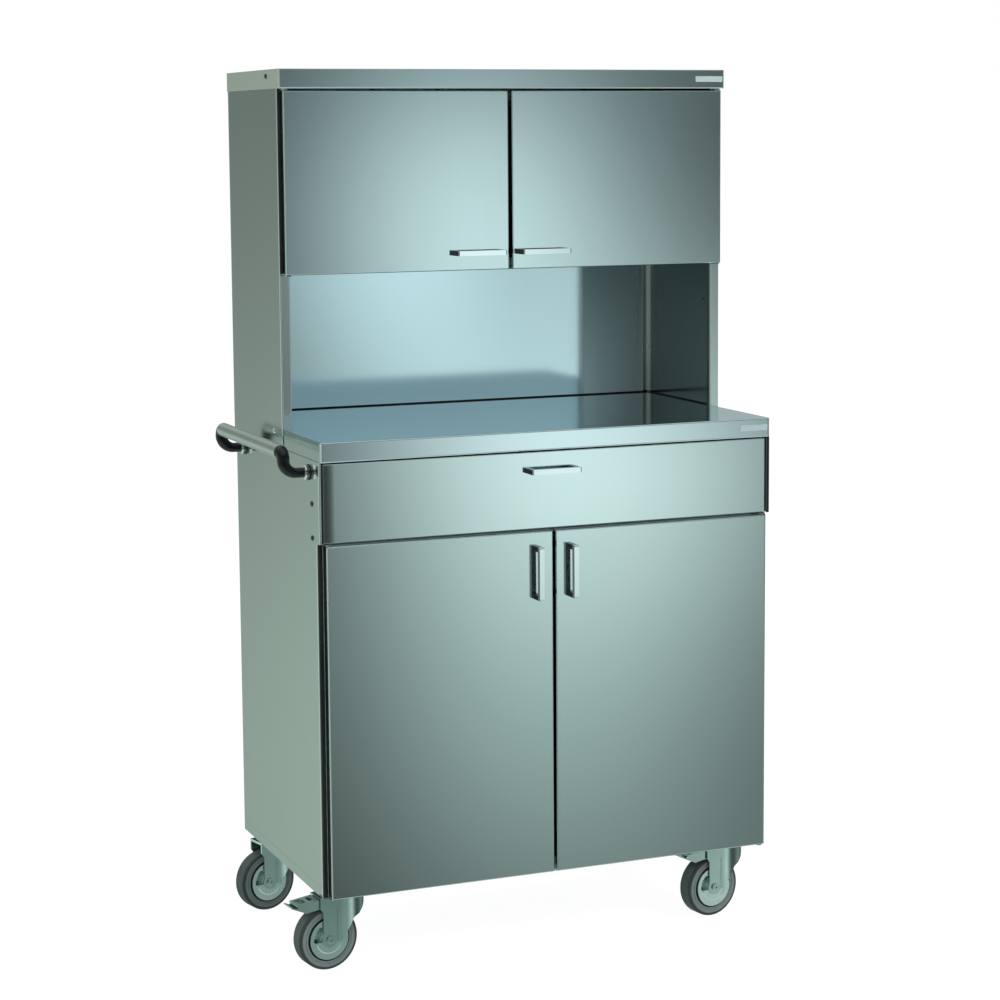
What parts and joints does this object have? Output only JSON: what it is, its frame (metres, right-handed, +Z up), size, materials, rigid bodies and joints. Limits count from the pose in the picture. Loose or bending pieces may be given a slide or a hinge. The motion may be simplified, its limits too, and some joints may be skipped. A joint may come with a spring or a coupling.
{
  "type": "waiter station",
  "caption": "Mobile stainless waiter station with a cupboard base, a wide drawer, an open serving niche, an overhead cupboard, a side push bar and swivel castors.",
  "frame": {"origin": "centre of the bounding box on the floor, doors closed", "axes": "+Z up, -Y towards the person facing the doors, +X to that person's right; push bar at -X"},
  "size_m": [1.0276, 0.5972, 1.755],
  "materials": {
    "stainless": "fine satin",
    "stainless_dark": "mill",
    "chrome": "polished",
    "black_gloss": "gloss",
    "black_washer": "matt",
    "zinc": "zinc plated",
    "rim": "moulded",
    "tyre": "matt grey rubber",
    "pedal": "zinc plated"
  },
  "bodies": {
    "cabinet": {"base_side_left": "stainless", "base_side_right": "stainless", "base_back": "stainless", "base_floor": "stainless", "caster_rails": "stainless_dark", "drawer_divider": "stainless", "base_shelf": "stainless", "shelf_pegs": "chrome", "worktop": "stainless", "worktop_stiffeners": "stainless_dark", "base_hinge_lugs": "stainless_dark", "hutch_side_left": "stainless", "hutch_side_right": "stainless", "hutch_back": "stainless", "hutch_floor": "stainless", "hutch_cap": "stainless", "hutch_hinge_lugs": "stainless_dark", "push_bar_tube": "chrome", "push_bar_elbows": "black_gloss", "push_bar_collars": "chrome", "push_bar_washers": "black_washer", "runner_packers": "zinc", "runner_outer_left": "zinc", "runner_outer_right": "zinc", "caster_plates": "zinc"},
    "drawer": {"drawer_front": "stainless", "drawer_box": "stainless", "drawer_handle": "chrome", "runner_inner_left": "zinc", "runner_inner_right": "zinc"},
    "runner_slider_left": {"runner_middle_left": "zinc"},
    "runner_slider_right": {"runner_middle_right": "zinc"},
    "base_door_left": {"base_door_skin_left": "stainless", "base_door_liner_left": "stainless", "base_door_handle_left": "chrome"},
    "base_door_right": {"base_door_skin_right": "stainless", "base_door_liner_right": "stainless", "base_door_handle_right": "chrome"},
    "hutch_door_left": {"hutch_door_skin_left": "stainless", "hutch_door_liner_left": "stainless", "hutch_door_handle_left": "chrome"},
    "hutch_door_right": {"hutch_door_skin_right": "stainless", "hutch_door_liner_right": "stainless", "hutch_door_handle_right": "chrome"},
    "caster_front_left": {"fork_front_left": "zinc"},
    "wheel_front_left": {"rim_front_left": "rim", "tyre_front_left": "tyre"},
    "caster_front_right": {"fork_front_right": "zinc"},
    "wheel_front_right": {"rim_front_right": "rim", "tyre_front_right": "tyre"},
    "caster_rear_left": {"fork_rear_left": "zinc"},
    "wheel_rear_left": {"rim_rear_left": "rim", "tyre_rear_left": "tyre"},
    "caster_rear_right": {"fork_rear_right": "zinc"},
    "wheel_rear_right": {"rim_rear_right": "rim", "tyre_rear_right": "tyre"},
    "pedal_front_left": {"brake_pedal_front_left": "pedal"},
    "pedal_front_right": {"brake_pedal_front_right": "pedal"}
  },
  "joints": [
    {"name": "base_door_left_hinge", "type": "hinge", "parent": "cabinet", "child": "base_door_left", "pos_m": [-0.4316, -0.2636, 0.161], "axis": [0, 0, -1], "range_deg": [0, 110]},
    {"name": "base_door_right_hinge", "type": "hinge", "parent": "cabinet", "child": "base_door_right", "pos_m": [0.4944, -0.2636, 0.161], "axis": [0, 0, 1], "range_deg": [0, 110]},
    {"name": "hutch_door_left_hinge", "type": "hinge", "parent": "cabinet", "child": "hutch_door_left", "pos_m": [-0.4376, -0.0531, 1.355], "axis": [0, 0, -1], "range_deg": [0, 110]},
    {"name": "hutch_door_right_hinge", "type": "hinge", "parent": "cabinet", "child": "hutch_door_right", "pos_m": [0.5004, -0.0531, 1.355], "axis": [0, 0, 1], "range_deg": [0, 110]},
    {"name": "drawer_slide", "type": "slide", "parent": "cabinet", "child": "drawer", "axis": [0, -1, 0], "range_m": [0, 0.42]},
    {"name": "runner_slider_left_slide", "type": "slide", "parent": "cabinet", "child": "runner_slider_left", "axis": [0, -1, 0], "range_m": [0, 0.21]},
    {"name": "runner_slider_right_slide", "type": "slide", "parent": "cabinet", "child": "runner_slider_right", "axis": [0, -1, 0], "range_m": [0, 0.21]},
    {"name": "caster_front_left_swivel", "type": "hinge", "parent": "cabinet", "child": "caster_front_left", "pos_m": [-0.3896, -0.1846, 0.149], "axis": [0, 0, 1], "continuous": true},
    {"name": "wheel_front_left_spin", "type": "hinge", "parent": "caster_front_left", "child": "wheel_front_left", "pos_m": [-0.42732, -0.18923, 0.0625], "axis": [-0.1219, 0.9925, 0], "continuous": true},
    {"name": "pedal_front_left_press", "type": "hinge", "parent": "caster_front_left", "child": "pedal_front_left", "pos_m": [-0.43923, -0.19069, 0.134], "axis": [0.1219, -0.9925, 0], "range_deg": [0, 12]},
    {"name": "caster_front_right_swivel", "type": "hinge", "parent": "cabinet", "child": "caster_front_right", "pos_m": [0.4524, -0.1846, 0.149], "axis": [0, 0, 1], "continuous": true},
    {"name": "wheel_front_right_spin", "type": "hinge", "parent": "caster_front_right", "child": "wheel_front_right", "pos_m": [0.41498, -0.1912, 0.0625], "axis": [-0.1736, 0.9848, 0], "continuous": true},
    {"name": "pedal_front_right_press", "type": "hinge", "parent": "caster_front_right", "child": "pedal_front_right", "pos_m": [0.40316, -0.19328, 0.134], "axis": [0.1736, -0.9848, 0], "range_deg": [0, 12]},
    {"name": "caster_rear_left_swivel", "type": "hinge", "parent": "cabinet", "child": "caster_rear_left", "pos_m": [-0.3896, 0.2274, 0.149], "axis": [0, 0, 1], "continuous": true},
    {"name": "wheel_rear_left_spin", "type": "hinge", "parent": "caster_rear_left", "child": "wheel_rear_left", "pos_m": [-0.42663, 0.21885, 0.0625], "axis": [-0.225, 0.9744, 0], "continuous": true},
    {"name": "caster_rear_right_swivel", "type": "hinge", "parent": "cabinet", "child": "caster_rear_right", "pos_m": [0.4524, 0.2274, 0.149], "axis": [0, 0, 1], "continuous": true},
    {"name": "wheel_rear_right_spin", "type": "hinge", "parent": "caster_rear_right", "child": "wheel_rear_right", "pos_m": [0.41487, 0.22146, 0.0625], "axis": [-0.1564, 0.9877, 0], "continuous": true}
  ],
  "couplings": [
    {"joint": "runner_slider_left_slide", "follows": "drawer_slide", "ratio": 0.5},
    {"joint": "runner_slider_right_slide", "follows": "drawer_slide", "ratio": 0.5}
  ]
}
